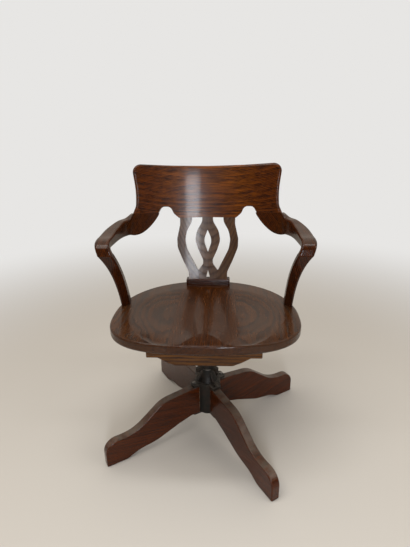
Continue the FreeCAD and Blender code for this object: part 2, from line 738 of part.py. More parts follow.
def makeSeatIron(holes):
    """A four-armed casting: socket in the middle, ribbed arms reaching out diagonally."""
    body = newBody("seat_iron_casting")
    top = "seatHeight - seatThickness"
    under = top + " - ironThickness"
    socketBottom = "seatHeight - ironSocketDrop"
    profile = newSketch(body, "XZ_Plane", "socket_profile")
    bore = "spindleRadius + fastenerFit"
    drawOutline(profile, [
        (bore, socketBottom, None),
        ("ironSocketRadius", socketBottom, "2"),
        ("ironSocketRadius", under + " - 24", "30"),
        ("ironSocketRadius + 12", under, None),
        ("ironSocketRadius + 12", top, None),
        (bore, top, None),
    ])
    addTurn(body, profile, "socket")
    plan = newSketch(body, "XY_Plane", "arm_plan", top)
    drawOutline(plan, [
        ("ironSocketRadius - 4", "- 0.5 * ironArmWidth", None),
        ("ironReach", "- 0.5 * ironArmWidth", "12"),
        ("ironReach", "0.5 * ironArmWidth", "12"),
        ("ironSocketRadius - 4", "0.5 * ironArmWidth", None),
    ])
    arm = addPad(body, plan, "arm", "ironThickness", backwards=True)
    side = newSketch(body, "XZ_Plane", "rib_side")
    drawOutline(side, [
        ("ironSocketRadius - 4", socketBottom + " + 12", None),
        ("ironSocketRadius + 3", socketBottom + " + 12", "3"),
        ("ironReach - 34", under, None),
        ("ironSocketRadius - 4", under, None),
    ])
    rib = addPad(body, side, "rib", "ironRibThickness", "Symmetric")
    addRing(body, [arm, rib], "iron_arms", 4)
    body.Placement = Placement(Vector(0, 0, 0), Rotation(Vector(0, 0, 1), 45))
    return boolean("Cut", "seat_iron", body, holes)


# Spindle and height nut

def makeSpindle(holes):
    body = newBody("spindle_rod")
    profile = newSketch(body, "XZ_Plane", "spindle_profile")
    drawOutline(profile, [
        ("0", "spindleFoot", None),
        ("spindleRadius - 2", "spindleFoot", None),
        ("spindleRadius", "spindleFoot + 2", None),
        ("spindleRadius", "seatHeight - spindleTopDrop - 2", None),
        ("spindleRadius - 2", "seatHeight - spindleTopDrop", None),
        ("0", "seatHeight - spindleTopDrop", None),
    ])
    addTurn(body, profile, "spindle_turn")
    return boolean("Cut", "spindle", body, holes)


def makeWasher():
    outer = doc.addObject("Part::Cylinder", "washer_disc")
    bind(outer, "Radius", "washerRadius")
    bind(outer, "Height", "washerThickness")
    inner = doc.addObject("Part::Cylinder", "washer_hole")
    bind(inner, "Radius", "spindleRadius + 5 * runningFit")
    bind(inner, "Height", "washerThickness")
    washer = boolean("Cut", "thrust_washer", outer, inner)
    bind(washer, "Placement.Base.z", "legTopHeight + plateThickness + bossHeight + faceGap")
    return washer


def makeNut():
    """A round nut with four lugs to turn it by hand."""
    body = newBody("height_nut")
    profile = newSketch(body, "XZ_Plane", "nut_profile")
    bore = "spindleRadius + runningFit"
    drawOutline(profile, [
        (bore, "0", None),
        ("washerRadius", "0", None),
        ("nutRadius", "1.5", None),
        ("nutRadius", "nutHeight - 3", "2"),
        ("nutRadius - 3", "nutHeight", None),
        (bore, "nutHeight", None),
    ])
    addTurn(body, profile, "nut_turn")
    plan = newSketch(body, "XY_Plane", "lug_plan", "0.06 * nutHeight")
    drawOutline(plan, [
        ("nutRadius - 4", "- 0.5 * nutLugWidth", None),
        ("nutLugReach", "- 0.5 * nutLugWidth + 1", "5"),
        ("nutLugReach", "0.5 * nutLugWidth - 1", "5"),
        ("nutRadius - 4", "0.5 * nutLugWidth", None),
    ])
    lug = addPad(body, plan, "lug", "0.45 * nutHeight")
    addRing(body, [lug], "lugs", 4)
    body.Placement = Placement(Vector(0, 0, 0), Rotation(Vector(0, 0, 1), 45))
    bind(body, "Placement.Base.z",
         "legTopHeight + plateThickness + bossHeight + 2 * faceGap + washerThickness")
    return body


# Base

def makeHub(holes):
    """Column between the legs, cross plate with an ear over each leg, tapered boss with ribs."""
    body = newBody("hub_iron")
    profile = newSketch(body, "XZ_Plane", "hub_profile")
    bore = "spindleRadius + runningFit"
    plateTop = "legTopHeight + plateThickness"
    drawOutline(profile, [
        (bore, "legUnderHeight", None),
        ("columnRadius", "legUnderHeight", "8"),
        ("columnRadius", plateTop, "1.5"),
        ("bossFootRadius", plateTop, None),
        ("bossTopRadius + 3", plateTop + " + 0.45 * bossHeight", "40"),
        ("bossTopRadius", plateTop + " + bossHeight", "2"),
        (bore, plateTop + " + bossHeight", None),
    ])
    addTurn(body, profile, "hub_turn")
    plan = newSketch(body, "XY_Plane", "ear_plan", "legTopHeight")
    drawOutline(plan, [
        ("spindleRadius + 4", "- 0.5 * earWidth", None),
        ("earReach", "- 0.5 * earWidth + 2", "9"),
        ("earReach", "0.5 * earWidth - 2", "9"),
        ("spindleRadius + 4", "0.5 * earWidth", None),
    ])
    ear = addPad(body, plan, "ear", "plateThickness")
    side = newSketch(body, "XZ_Plane", "hub_rib_side")
    drawOutline(side, [
        ("spindleRadius + 4", plateTop + " - 1", None),
        ("bossFootRadius + 2", plateTop + " - 1", None),
        ("ribReach", plateTop + " + 4", "3"),
        ("bossTopRadius + 1.5", plateTop + " + bossHeight - 12", "6"),
        ("spindleRadius + 4", plateTop + " + bossHeight - 9", None),
    ])
    rib = addPad(body, side, "hub_rib", "ribThickness", "Symmetric")
    addRing(body, [ear, rib], "ears", 4)
    body.Placement = Placement(Vector(0, 0, 0), Rotation(Vector(0, 0, 1), size("legBearing")))
    return boolean("Cut", "hub_casting", body, holes)


def makeLeg(label, bearing, holes):
    """An ogee leg: deep at the hub, sweeping down to a level toe with an upright end."""
    body = newBody(label + "_board")
    outline = newSketch(body, "XZ_Plane", label + "_outline")
    drawOutline(outline, [
        ("0.5 * columnRadius", "legUnderHeight", None),
        ("lowerScrewCircle + 20", "legUnderHeight", "60"),
        ("legReach - 250", "legUnderHeight - 13", "120"),
        ("legReach - 168", "legUnderHeight - 43", "140"),
        ("legReach - 106", "legUnderHeight - 51", "90"),
        ("legReach - footPadLength", "0", "18"),
        ("legReach", "0", "3"),
        ("legReach", "toeHeight", "toeRound"),
        ("legReach - 96", "toeHeight + 1", "120"),
        ("legReach - 198", "legTopHeight - 14", "90"),
        ("0.5 * columnRadius", "legTopHeight", None),
    ])
    addPad(body, outline, label + "_pad", "legThickness", "Symmetric")
    doc.recompute()
    rounded = body.newObject("PartDesign::Fillet", label + "_rounds")
    pad = body.getObject(label + "_pad")
    names = []
    for number, edge in enumerate(pad.Shape.Edges, start=1):
        middle = edge.valueAt(0.5 * (edge.FirstParameter + edge.LastParameter))
        onSide = abs(abs(middle.y) - 0.5 * size("legThickness")) < 0.01
        besideHub = middle.x < size("earReach") and middle.z < worth("legUnderHeight + 1")
        atHub = middle.x < worth("0.5 * columnRadius + 1")
        onFloor = middle.z < 2
        if onSide and not besideHub and not atHub and not onFloor:
            names.append("Edge%d" % number)
    rounded.Base = (pad, names)
    bind(rounded, "Radius", "legRound")
    cope = newSketch(body, "XY_Plane", label + "_cope")
    drawCircle(cope, "0", "0", "columnRadius + faceGap")
    addPocket(body, cope, label + "_coped")
    body.Placement = Placement(Vector(0, 0, 0), Rotation(Vector(0, 0, 1), bearing))
    return boolean("Cut", label, body, holes)


def makeLowerPlate(holes):
    body = newBody("lower_plate_iron")
    disc = newSketch(body, "XY_Plane", "lower_disc", "legUnderHeight - lowerPlateThickness")
    drawCircle(disc, "0", "0", "columnRadius - 10")
    drawCircle(disc, "0", "0", "spindleRadius + 2")
    addPad(body, disc, "lower_disc_pad", "lowerPlateThickness")
    plan = newSketch(body, "XY_Plane", "lower_ear_plan", "legUnderHeight - lowerPlateThickness")
    drawOutline(plan, [
        ("spindleRadius + 5", "- 11", None),
        ("lowerScrewCircle + 10", "- 11", "8"),
        ("lowerScrewCircle + 10", "11", "8"),
        ("spindleRadius + 5", "11", None),
    ])
    ear = addPad(body, plan, "lower_ear", "lowerPlateThickness")
    addRing(body, [ear], "lower_ears", 4)
    body.Placement = Placement(Vector(0, 0, 0), Rotation(Vector(0, 0, 1), size("legBearing")))
    return boolean("Cut", "lower_plate", body, holes)


# Fasteners, each with the holes it sits in

def headDown(length, shank, head, headHeight, sunk):
    """Profile of a screw driven upwards: its head's lower face at height 0."""
    if sunk:
        return [(0, 0), (head, 0), (shank, headHeight), (shank, length), (0, length)]
    return [(0, 0), (0.7 * head, 0), (head, 0.5 * headHeight), (head, headHeight),
            (shank, headHeight), (shank, length), (0, length)]


shank = size("woodScrewRadius")
seatTop = size("seatHeight")
seatUnder = seatTop - size("seatThickness")
plateTop = size("legTopHeight") + size("plateThickness")
legAngles = [size("legBearing") + 90 * index for index in range(4)]


def around(radius, angle, height):
    radians = math.radians(angle)
    return Vector(radius * math.cos(radians), radius * math.sin(radians), height)


def rod(radius, length):
    """Profile of a plain dowel or pin with small chamfers."""
    return [(0, 0), (radius - 0.8, 0), (radius, 0.8), (radius, length - 0.8), (radius - 0.8, length), (0, length)]


def woodSlot(shape):
    return slotted(shape, 2.2 * shank)


# post feet: two screws each, from under the seat
postScrews = []
for mirror in (1, -1):
    for across, along in (("footInner + 10", 4), ("footInner + 19", -16)):
        postScrews.append(upward(Vector(mirror * worth(across), along, seatUnder)))
postScrewProfile = headDown(size("seatThickness") + 34, shank, 2 * shank, 3, True)
postScrewPiece, postScrewHoles = fastenWith("post_screws", postScrewProfile, postScrews, woodSlot)

# shoe: two screws from under the seat
shoeMiddle = size("backSetback") + 0.5 * size("shoeDepth")
shoePlaces = [upward(Vector(mirror * 48, shoeMiddle - 2, seatUnder)) for mirror in (1, -1)]
shoeProfile = headDown(size("seatThickness") + size("shoeHeight") - size("splatTenon") - 4, shank, 2 * shank, 3, True)
shoeScrewPiece, shoeScrewHoles = fastenWith("shoe_screws", shoeProfile, shoePlaces, woodSlot)

# bearers: one screw at each end, up into the seat
bearerEnd = seatUnder - size("bearerEndDepth")
bearerPlaces = []
for face in (-size("bearerFrontFace"), size("bearerRearFace")):
    for mirror in (1, -1):
        place = Vector(mirror * (size("bearerHalfLength") - 15), face + 0.5 * size("bearerThickness"), bearerEnd)
        bearerPlaces.append(upward(place))
bearerProfile = headDown(size("bearerEndDepth") + 16, shank, 2 * shank, 3, True)
bearerScrewPiece, bearerScrewHoles = fastenWith("bearer_screws", bearerProfile, bearerPlaces, woodSlot)

# seat iron: two screws through each arm
ironHead = 3
ironPlaces = []
for index in range(4):
    for reach in (12, 40):
        spot = around(size("ironReach") - reach, 45 + 90 * index, seatUnder - size("ironThickness") - ironHead)
        side = 9 if reach == 40 else 0
        ironPlaces.append(upward(spot + around(side, 135 + 90 * index, 0)))
ironProfile = headDown(ironHead + size("ironThickness") + 14, shank, 2.1 * shank, ironHead, False)
ironScrewPiece, ironScrewHoles = fastenWith("iron_screws", ironProfile, ironPlaces, woodSlot)

# dowels: two from each arm up into the panel, along the slope of the back
dowel = rod(size("dowelRadius"), size("dowelLength"))
dowelMiddle = size("panelRadius") + 0.5 * size("panelThickness")
panelPlaces = []
for mirror in (1, -1):
    for inset in (16, 44):
        across = size("panelHalfFoot") - inset
        angle = math.asin(across / dowelMiddle)
        spot = Vector(mirror * across, dowelMiddle * math.cos(angle) - size("panelRadius"),
                      size("panelJoint") - 0.5 * size("dowelLength"))
        panelPlaces.append(Placement(spot, Rotation()))
panelDowelPiece, panelDowelHoles = fastenWith("panel_dowels", dowel, panelPlaces)
panelDowelPiece.Placement = backFrame
railDowelHoles = keepShape("rail_dowel_holes", panelDowelHoles.Shape.copy())
railDowelHoles.Placement = backFrame

# dowels: one upright in each knuckle joint
kneePlaces = []
for mirror in (1, -1):
    across = 0.5 * (size("kneeOuter") + size("kneeInner")) - size("kneeTuck")
    along = -size("kneeBend") - size("kneeRadius") - 0.5 * size("railThickness")
    kneePlaces.append(upward(Vector(mirror * across, along, postTop() - 0.5 * size("dowelLength"))))
kneeDowelPiece, kneeDowelHoles = fastenWith("knuckle_dowels", dowel, kneePlaces)

# coach screws: from above, through the ears into the legs
coachHead = size("coachHeadHeight")
coachProfile = [
    (0, -size("coachScrewLength")), (size("coachScrewRadius"), -size("coachScrewLength") + 6),
    (size("coachScrewRadius"), 0), (size("coachHeadRadius"), 0),
    (size("coachHeadRadius"), 0.55 * coachHead), (0.6 * size("coachHeadRadius"), coachHead), (0, coachHead),
]
coachPlaces = [upward(around(size("earScrewCircle"), angle, plateTop)) for angle in legAngles]
coachPiece, coachHoles = fastenWith(
    "ear_screws", coachProfile, coachPlaces,
    lambda shape: hexagonal(shape, size("coachHeadRadius"), size("coachHeadHeight")))

# lower plate: one sunk screw up into each leg
lowerPlaces = [upward(around(size("lowerScrewCircle"), angle, size("legUnderHeight") - size("lowerPlateThickness")))
               for angle in legAngles]
lowerProfile = headDown(size("lowerPlateThickness") + 32, shank, 2 * shank, 3, True)
lowerScrewPiece, lowerScrewHoles = fastenWith("lower_plate_screws", lowerProfile, lowerPlaces, woodSlot)

# cross pin through socket and spindle
pinLength = 2 * size("ironSocketRadius") + 4
pinPlace = Placement(Vector(-0.5 * pinLength, 0, seatTop - size("pinDrop")), Rotation(Vector(0, 1, 0), 90))
pinPiece, pinHoles = fastenWith("spindle_pin", rod(size("pinRadius"), pinLength), [pinPlace])


def joined(label, cutters):
    """Several cutters as one."""
    return keepShape(label, Part.makeCompound([cutter.Shape for cutter in cutters]))


# The pieces

seatHoles = joined("seat_holes", [postScrewHoles, shoeScrewHoles, bearerScrewHoles, ironScrewHoles])
seat = makeSeat(seatHoles)

panelBand = makeBand("panel_band", size("panelRadius"), size("panelRadius") + size("panelThickness"), 32)
splatFront = size("panelRadius") + size("splatInset")
splatBand = makeBand("splat_band", splatFront, splatFront + size("splatThickness"), 20)
tongue = size("panelTongue")
panelSlot = makeSlot("panel_slot", tongue - 10, worth("panelTongue + splatTenon + slotFit"), size("splatHalfTop"))
panelCutter = keepShape("panel_cutter", Part.makeCompound([panelSlot, panelDowelHoles.Shape]))
crestPanel = makePanel(panelBand, panelCutter)
splat = makeSplat(splatBand)

shoeBlock = doc.addObject("Part::Box", "shoe_block")
bind(shoeBlock, "Length", "2 * shoeHalfWidth")
bind(shoeBlock, "Width", "shoeDepth")
bind(shoeBlock, "Height", "shoeHeight")
bind(shoeBlock, "Placement.Base.x", minus("shoeHalfWidth"))
bind(shoeBlock, "Placement.Base.y", "backSetback")
bind(shoeBlock, "Placement.Base.z", "seatHeight")
doc.recompute()
shoeRounded = doc.addObject("Part::Fillet", "shoe_rounded")
shoeRounded.Base = shoeBlock
shoeRounds = []
for number, edge in enumerate(shoeBlock.Shape.Edges, start=1):
    if edge.BoundBox.ZMax > seatTop + 1 and edge.CenterOfMass.y < shoeMiddle + 1:
        shoeRounds.append((number, 5, 5))
shoeRounded.Edges = shoeRounds
shoeSlotShape = makeSlot("shoe_slot", worth("shoeHeight - splatTenon + 2 - slotFit"),
                         worth("shoeHeight + 20"), worth("splatHalfFoot + 1"))
shoeSlotShape.Placement = backFrame.multiply(shoeSlotShape.Placement)
shoeCutter = keepShape("shoe_cutter", Part.makeCompound([shoeSlotShape, shoeScrewHoles.Shape]))
shoe = boolean("Cut", "splat_shoe", shoeRounded, shoeCutter)

# the arms are planed off where the panel stands on them
bedMargin = 5
bedRadius = size("panelRadius") + size("panelThickness") + bedMargin
panelBed = Part.makeCylinder(bedRadius, 60, Vector(0, 0, size("panelJoint")), Vector(0, 0, 1), 64)
panelBed = panelBed.cut(Part.makeCylinder(size("panelRadius") - bedMargin, 60, Vector(0, 0, size("panelJoint")),
                                          Vector(0, 0, 1), 64))
panelBed.Placement = backFrame.multiply(Placement(Vector(0, -size("panelRadius"), 0),
                                                  Rotation(Vector(0, 0, 1), 58)))
bedCutter = keepShape("panel_bed", panelBed)
railCutter = joined("rail_cutter", [railDowelHoles, kneeDowelHoles, bedCutter])
railRight = makeRail("arm_rail_right", railCutter)
railLeft = mirrored("arm_rail_left", railRight)
postCutter = joined("post_cutter", [postScrewHoles, kneeDowelHoles])
postRight = makePost("arm_post_right", postCutter)
postLeft = mirrored("arm_post_left", postRight)

frontBearer = makeBearer("front_bearer", "- bearerFrontFace", bearerScrewHoles)
rearBearer = makeBearer("rear_bearer", "bearerRearFace", bearerScrewHoles)
seatIron = makeSeatIron(joined("iron_holes", [ironScrewHoles, pinHoles]))
spindle = makeSpindle(pinHoles)
washer = makeWasher()
nut = makeNut()
hub = makeHub(coachHoles)
lowerPlate = makeLowerPlate(lowerScrewHoles)
legHoles = joined("leg_holes", [coachHoles, lowerScrewHoles])
legNames = ["leg_rear_right", "leg_rear_left", "leg_front_left", "leg_front_right"]
legs = [makeLeg(name, angle, legHoles) for name, angle in zip(legNames, legAngles)]

subParts = [
    seat, crestPanel, splat, shoe, railRight, railLeft, postRight, postLeft, frontBearer, rearBearer,
    seatIron, spindle, washer, nut, hub, lowerPlate, postScrewPiece, shoeScrewPiece, bearerScrewPiece,
    ironScrewPiece, panelDowelPiece, kneeDowelPiece, coachPiece, lowerScrewPiece, pinPiece,
] + legs

doc.recompute()

faults = []
for thing in doc.Objects:
    if "Invalid" in thing.State or "Error" in thing.State:
        faults.append(thing.Name + " did not compute")
for piece in subParts:
    shape = piece.Shape
    if shape.isNull() or not shape.isValid() or not shape.Solids or shape.Volume <= 0:
        faults.append(piece.Label + " has no sound solid")
if faults:
    raise RuntimeError("; ".join(faults))

os.makedirs("parts", exist_ok=True)
for piece in subParts:
    piece.Shape.exportStep("parts/%s.step" % piece.Label)
    print("%-20s %d solid(s) %10.1f mm3" % (piece.Label, len(piece.Shape.Solids), piece.Shape.Volume))
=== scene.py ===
# Swivel desk chair in dark polished oak: four swept legs on an iron hub, a dished seat,
# a curved crest with a pierced splat, and bent arms.
import bpy
import numpy as np
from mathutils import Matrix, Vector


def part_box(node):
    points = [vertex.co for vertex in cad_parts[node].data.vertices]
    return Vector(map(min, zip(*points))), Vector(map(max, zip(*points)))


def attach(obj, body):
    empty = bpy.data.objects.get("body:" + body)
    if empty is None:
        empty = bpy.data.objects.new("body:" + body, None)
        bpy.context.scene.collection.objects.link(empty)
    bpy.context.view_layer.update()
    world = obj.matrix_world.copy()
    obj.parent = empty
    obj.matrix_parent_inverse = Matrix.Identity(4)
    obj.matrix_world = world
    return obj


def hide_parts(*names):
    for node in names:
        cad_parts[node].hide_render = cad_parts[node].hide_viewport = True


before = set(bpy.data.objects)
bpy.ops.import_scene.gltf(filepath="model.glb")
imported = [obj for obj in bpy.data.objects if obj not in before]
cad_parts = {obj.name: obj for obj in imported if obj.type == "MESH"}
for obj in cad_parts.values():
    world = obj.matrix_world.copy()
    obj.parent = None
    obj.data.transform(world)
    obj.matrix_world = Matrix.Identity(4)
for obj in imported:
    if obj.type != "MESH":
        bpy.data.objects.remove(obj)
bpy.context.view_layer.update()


# small helpers for shader trees
def place(tree, kind, inputs=None, **settings):
    # one shader node; an input that is a socket is linked, anything else is a plain value
    node = tree.nodes.new("ShaderNode" + kind)
    for name, value in settings.items():
        setattr(node, name, value)
    for name, value in (inputs or {}).items():
        if isinstance(value, bpy.types.NodeSocket):
            tree.links.new(value, node.inputs[name])
        else:
            node.inputs[name].default_value = value
    return node


def calc(tree, operation, first, second=0.0, third=0.0, clamp=False):
    inputs = {0: first, 1: second, 2: third}
    return place(tree, "Math", inputs, operation=operation, use_clamp=clamp).outputs[0]


def ramp(tree, value, low, high, start=0.0, end=1.0):
    # smooth step: start below low, end above high
    inputs = {"Value": value, "From Min": low, "From Max": high, "To Min": start, "To Max": end}
    return place(tree, "MapRange", inputs, interpolation_type="SMOOTHSTEP").outputs[0]


def tint(tree, share, first, second, way="MIX"):
    node = place(tree, "Mix", {0: share, 6: first, 7: second}, data_type="RGBA", blend_type=way)
    return node.outputs[2]


def stretch(tree, vector, factors):
    return place(tree, "VectorMath", {0: vector, 1: factors}, operation="MULTIPLY").outputs[0]


def cloud(tree, vector, scale, detail=2.0, rough=0.5):
    inputs = {"Vector": vector, "Scale": scale, "Detail": detail, "Roughness": rough}
    return place(tree, "TexNoise", inputs).outputs["Fac"]


def newGroup(name, inputs, outputs):
    group = bpy.data.node_groups.new(name, "ShaderNodeTree")
    for label, kind, value in inputs:
        socket = group.interface.new_socket(label, in_out="INPUT", socket_type="NodeSocket" + kind)
        if value is not None:
            socket.default_value = value
    for label, kind in outputs:
        group.interface.new_socket(label, in_out="OUTPUT", socket_type="NodeSocket" + kind)
    return group, group.nodes.new("NodeGroupInput").outputs, group.nodes.new("NodeGroupOutput").inputs


def useGroup(tree, group, values):
    node = tree.nodes.new("ShaderNodeGroup")
    node.node_tree = group
    for name, value in values.items():
        if isinstance(value, bpy.types.NodeSocket):
            tree.links.new(value, node.inputs[name])
        else:
            node.inputs[name].default_value = value
    return node.outputs


# effects that several materials share
def makeOakGrain():
    # growth rings round the X axis of the wood's own space: distance from the pith line over the
    # ring spacing, bent by slow and quick noise; pores crowd into the start of each ring
    group, given, out = newGroup(
        "oakGrain",
        [("Vector", "Vector", None), ("Ring Spacing", "Float", 0.005), ("Wander", "Float", 0.006),
         ("Ripple", "Float", 0.0012), ("Seed", "Float", 0.0)],
        [("Tone", "Float"), ("Pores", "Float"), ("Flecks", "Float"), ("Height", "Float")],
    )
    shift = place(group, "CombineXYZ", {0: given["Seed"], 1: given["Seed"], 2: given["Seed"]}).outputs[0]
    spot = place(group, "VectorMath", {0: given["Vector"], 1: shift}, operation="ADD").outputs[0]
    slow = calc(group, "SUBTRACT", cloud(group, stretch(group, spot, (0.35, 1.0, 1.0)), 9.0, 1.0), 0.5)
    quick = calc(group, "SUBTRACT", cloud(group, stretch(group, spot, (0.42, 1.0, 1.0)), 62.0, 2.0), 0.5)
    across = stretch(group, given["Vector"], (0.0, 1.0, 1.0))
    radius = place(group, "VectorMath", {0: across}, operation="LENGTH").outputs["Value"]
    bent = calc(group, "MULTIPLY_ADD", slow, given["Wander"], radius)
    bent = calc(group, "MULTIPLY_ADD", quick, given["Ripple"], bent)
    phase = calc(group, "DIVIDE", bent, given["Ring Spacing"])
    within = calc(group, "FRACT", phase)
    early = calc(group, "MULTIPLY", ramp(group, within, 0.0, 0.12), ramp(group, within, 0.62, 0.2))
    ringNumber = calc(group, "FLOOR", phase)
    ringTone = place(group, "TexWhiteNoise", {"W": ringNumber}, noise_dimensions="1D").outputs["Value"]
    fibre = cloud(group, stretch(group, spot, (0.045, 1.0, 1.0)), 420.0, 3.0, 0.6)
    streak = cloud(group, stretch(group, spot, (0.09, 1.0, 1.0)), 130.0, 2.0, 0.55)
    pore = ramp(group, cloud(group, stretch(group, spot, (0.07, 1.0, 1.0)), 1100.0, 1.0), 0.52, 0.66)
    pore = calc(group, "MULTIPLY", pore, calc(group, "MULTIPLY_ADD", early, 0.8, 0.2))
    cells = place(group, "TexVoronoi", {"Vector": stretch(group, spot, (0.16, 1.0, 1.0)), "Scale": 150.0})
    fleck = ramp(group, cells.outputs["Distance"], 0.30, 0.12)
    fleck = calc(group, "MULTIPLY", fleck, ramp(group, cloud(group, spot, 26.0), 0.45, 0.62))
    tone = calc(group, "MULTIPLY_ADD", early, -0.42, 0.66)
    tone = calc(group, "MULTIPLY_ADD", calc(group, "SUBTRACT", ringTone, 0.5), 0.34, tone)
    tone = calc(group, "MULTIPLY_ADD", calc(group, "SUBTRACT", streak, 0.5), 1.1, tone)
    tone = calc(group, "MULTIPLY_ADD", calc(group, "SUBTRACT", fibre, 0.5), 0.55, tone, clamp=True)
    height = calc(group, "MULTIPLY_ADD", pore, -0.6, calc(group, "MULTIPLY", early, -0.5))
    height = calc(group, "MULTIPLY_ADD", streak, 0.7, height)
    group.links.new(tone, out["Tone"])
    group.links.new(pore, out["Pores"])
    group.links.new(fleck, out["Flecks"])
    group.links.new(height, out["Height"])
    return group


def makeEdgeWear():
    # how far the rounded normal turns from the true one, broken up by noise: 1 on rubbed arrises
    group, given, out = newGroup(
        "edgeWear",
        [("Vector", "Vector", None), ("Width", "Float", 0.003), ("Breakup", "Float", 60.0)],
        [("Wear", "Float"), ("Rim", "Float")],
    )
    rounded = place(group, "Bevel", {"Radius": given["Width"]}, samples=6).outputs[0]
    flat = place(group, "NewGeometry").outputs["Normal"]
    match = place(group, "VectorMath", {0: rounded, 1: flat}, operation="DOT_PRODUCT").outputs["Value"]
    rim = ramp(group, match, 0.985, 0.80)
    patch = cloud(group, given["Vector"], given["Breakup"], 3.0, 0.6)
    worn = calc(group, "MULTIPLY", rim, ramp(group, patch, 0.42, 0.62))
    group.links.new(worn, out["Wear"])
    group.links.new(rim, out["Rim"])
    return group


def makeBlotch():
    # large cloudy patches and a finer smear, for stain, handling and polish that lies unevenly
    group, given, out = newGroup(
        "blotch",
        [("Vector", "Vector", None), ("Scale", "Float", 7.0)],
        [("Patch", "Float"), ("Smear", "Float")],
    )
    patch = ramp(group, cloud(group, given["Vector"], given["Scale"], 3.0, 0.55), 0.34, 0.68)
    finer = calc(group, "MULTIPLY", given["Scale"], 6.0)
    smear = cloud(group, stretch(group, given["Vector"], (0.5, 1.0, 1.0)), finer, 4.0, 0.6)
    group.links.new(patch, out["Patch"])
    group.links.new(smear, out["Smear"])
    return group


def makeDustAndSheen():
    # settles on faces that look up, thicker in the still corners that the noise picks; on the oak legs and
    # rails this paler top is partly real dust and partly a painted sheen of the bright wall that they
    # mirror
    group, given, out = newGroup(
        "dust",
        [("Vector", "Vector", None), ("Amount", "Float", 0.5), ("Scale", "Float", 40.0)],
        [("DustAndSheen", "Float")],
    )
    normal = place(group, "NewGeometry").outputs["Normal"]
    up = place(group, "SeparateXYZ", {0: normal}).outputs["Z"]
    lying = ramp(group, up, 0.45, 0.95)
    patch = ramp(group, cloud(group, given["Vector"], given["Scale"], 4.0, 0.62), 0.30, 0.66)
    dust = calc(group, "MULTIPLY", lying, calc(group, "MULTIPLY_ADD", patch, 0.75, 0.25))
    dust = calc(group, "MULTIPLY", dust, given["Amount"], clamp=True)
    group.links.new(dust, out["DustAndSheen"])
    return group


oakGrain = makeOakGrain()
edgeWear = makeEdgeWear()
blotch = makeBlotch()
dustFall = makeDustAndSheen()
print("shared effects built")

# oak
oakBase = {
    "deep": (0.014, 0.0034, 0.0008, 1),  # stain in the pores and the dark rings
    "warm": (0.200, 0.050, 0.0030, 1),  # lit wood between the rings
    "contrast": 0.55,  # half the span of ring tones that runs from deep to warm
    "patchColour": (0.070, 0.0130, 0.0012, 1),  # darker stain patches
    "patchShare": 0.45,
    "fleckColour": (0.130, 0.055, 0.020, 1),
    "fleckShare": 0.18,
    "wornColour": (0.20, 0.11, 0.060, 1),
    "wornShare": 0.35,
    "rimShadeColour": (0.010, 0.0040, 0.0018, 1),  # painted reflection: rounded arrises darkened as if they mirror the dim room
    "rimShare": 0.35,
    "rimWidth": 0.0035,
    "ringSpacing": 0.0052,
    "wander": 0.010,
    "ripple": 0.0046,
    "poreShare": 0.55,
    "roughness": 0.24,
    "smear": 0.14,
    "specular": 0.16,
    "bump": 0.55,
    "coat": 0.20,
    "coatRoughness": 0.10,
    "dust": 0.0,
    "dustColour": (0.16, 0.13, 0.10, 1),
    "veilColour": (0.060, 0.034, 0.019, 1),  # painted reflection: grey sheen of the bright wall, painted into the colour
}

# how far, in metres, each board of a jointed seat is shifted in the log that it was cut from
boardCut = {"along": 0.37, "outward": 0.14, "down": 0.0115, "middleAside": 0.6}


